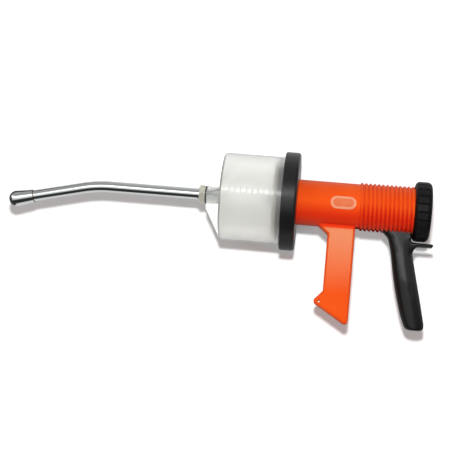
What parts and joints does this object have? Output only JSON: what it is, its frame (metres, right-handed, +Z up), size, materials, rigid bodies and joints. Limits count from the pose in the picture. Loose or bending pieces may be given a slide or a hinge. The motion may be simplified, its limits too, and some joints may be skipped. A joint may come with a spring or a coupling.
{
  "type": "livestock drencher",
  "caption": "Hand-squeezed dosing gun for livestock: wide clear barrel, bent chrome nozzle, fixed front handle, sliding rear handle and a threaded dose nut.",
  "frame": {"origin": "on the pump axis, at the front face of the barrel cap, where a ring holder slipped over the barrel seats", "axes": "+X along the pump axis from nozzle to dose nut, +Y from the handles to the top of the gun, +Z up, square to the gun's mid-plane as it lies on its side"},
  "size_m": [0.4265, 0.1658, 0.0976],
  "materials": {
    "chrome_plate": "bright chrome plate",
    "plated_brass": "dull nickel plate",
    "stainless_steel": "drawn",
    "black_rubber": "moulded",
    "clear_polypropylene": "translucent, satin",
    "black_nylon": "satin moulded",
    "orange_moulding": "semi-gloss moulded",
    "natural_nylon": "moulded"
  },
  "bodies": {
    "gun": {"nozzle_tip": "chrome_plate", "nozzle_tube": "chrome_plate", "nozzle_tail": "plated_brass", "nozzle_nut": "plated_brass", "nozzle_washer": "black_rubber", "barrel": "clear_polypropylene", "barrel_gasket": "black_rubber", "barrel_cap": "black_nylon", "gun_body": "orange_moulding", "rod_bush": "natural_nylon", "return_spring": "stainless_steel"},
    "plunger": {"rear_handle": "black_nylon", "spring_seat": "stainless_steel", "piston_rod": "stainless_steel", "piston_front_plate": "natural_nylon", "piston_seal": "black_rubber", "piston_back_plate": "natural_nylon", "piston_washer": "stainless_steel", "piston_nut": "stainless_steel", "rod_washer": "stainless_steel", "rod_nut": "stainless_steel"},
    "dose_setter": {"dose_nut": "black_nylon"}
  },
  "joints": [
    {"name": "squeeze", "type": "slide", "parent": "gun", "child": "plunger", "axis": [-1, 0, 0], "range_m": [0, 0.0235], "stiffness_N_per_m": 1500, "springref_m": -0.02, "deforming": ["return_spring"]},
    {"name": "dose_turn", "type": "hinge", "parent": "gun", "child": "dose_setter", "pos_m": [0.1375, 0, 0], "axis": [-1, 0, 0], "range_deg": [0, 2025]}
  ]
}
